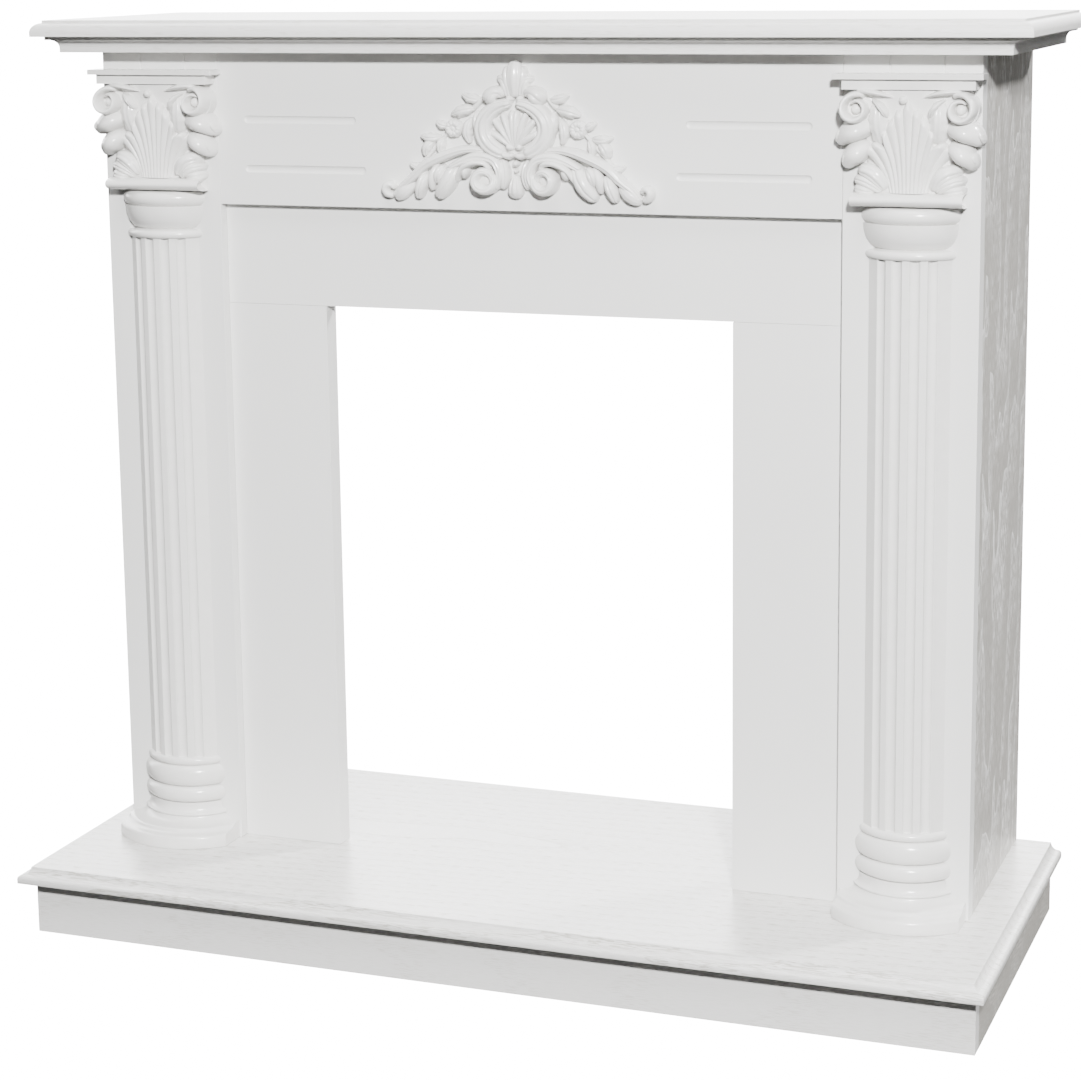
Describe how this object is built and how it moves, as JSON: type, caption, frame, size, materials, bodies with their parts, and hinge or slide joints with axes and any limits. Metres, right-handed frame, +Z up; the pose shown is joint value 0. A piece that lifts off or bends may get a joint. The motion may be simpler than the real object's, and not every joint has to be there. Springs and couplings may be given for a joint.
{
  "type": "fireplace mantelpiece",
  "caption": "White fireplace mantelpiece with fluted half columns, leaf capitals, a shell ornament on the frieze, a moulded shelf and a hearth on a low plinth.",
  "frame": {"origin": "on the floor, at the middle of the bounding box seen from above", "axes": "+X along the wall to the viewer's right, +Y towards the wall behind, +Z up"},
  "size_m": [1.12, 0.46, 1.029],
  "materials": {
    "satin_paint": "smooth white satin lacquer on board",
    "limed_wood": "white lacquer over open-pored oak veneer",
    "cast_paint": "cast resin, painted satin white"
  },
  "bodies": {
    "root": {"hearth_slab": "limed_wood", "plinth_front": "limed_wood", "plinth_left": "limed_wood", "plinth_right": "limed_wood", "plinth_back": "limed_wood", "pilaster_left": "satin_paint", "pilaster_right": "satin_paint", "side_panel_left": "limed_wood", "side_panel_right": "limed_wood", "inner_panel_left": "satin_paint", "inner_panel_right": "satin_paint", "header_panel": "satin_paint", "frieze_panel": "satin_paint", "cornice": "limed_wood", "mantel_shelf": "limed_wood", "column_foot_left": "cast_paint", "column_foot_right": "cast_paint", "column_shaft_left": "cast_paint", "column_shaft_right": "cast_paint", "capital_left": "cast_paint", "capital_right": "cast_paint", "abacus_left": "cast_paint", "abacus_right": "cast_paint", "ornament": "cast_paint"}
  },
  "joints": []
}
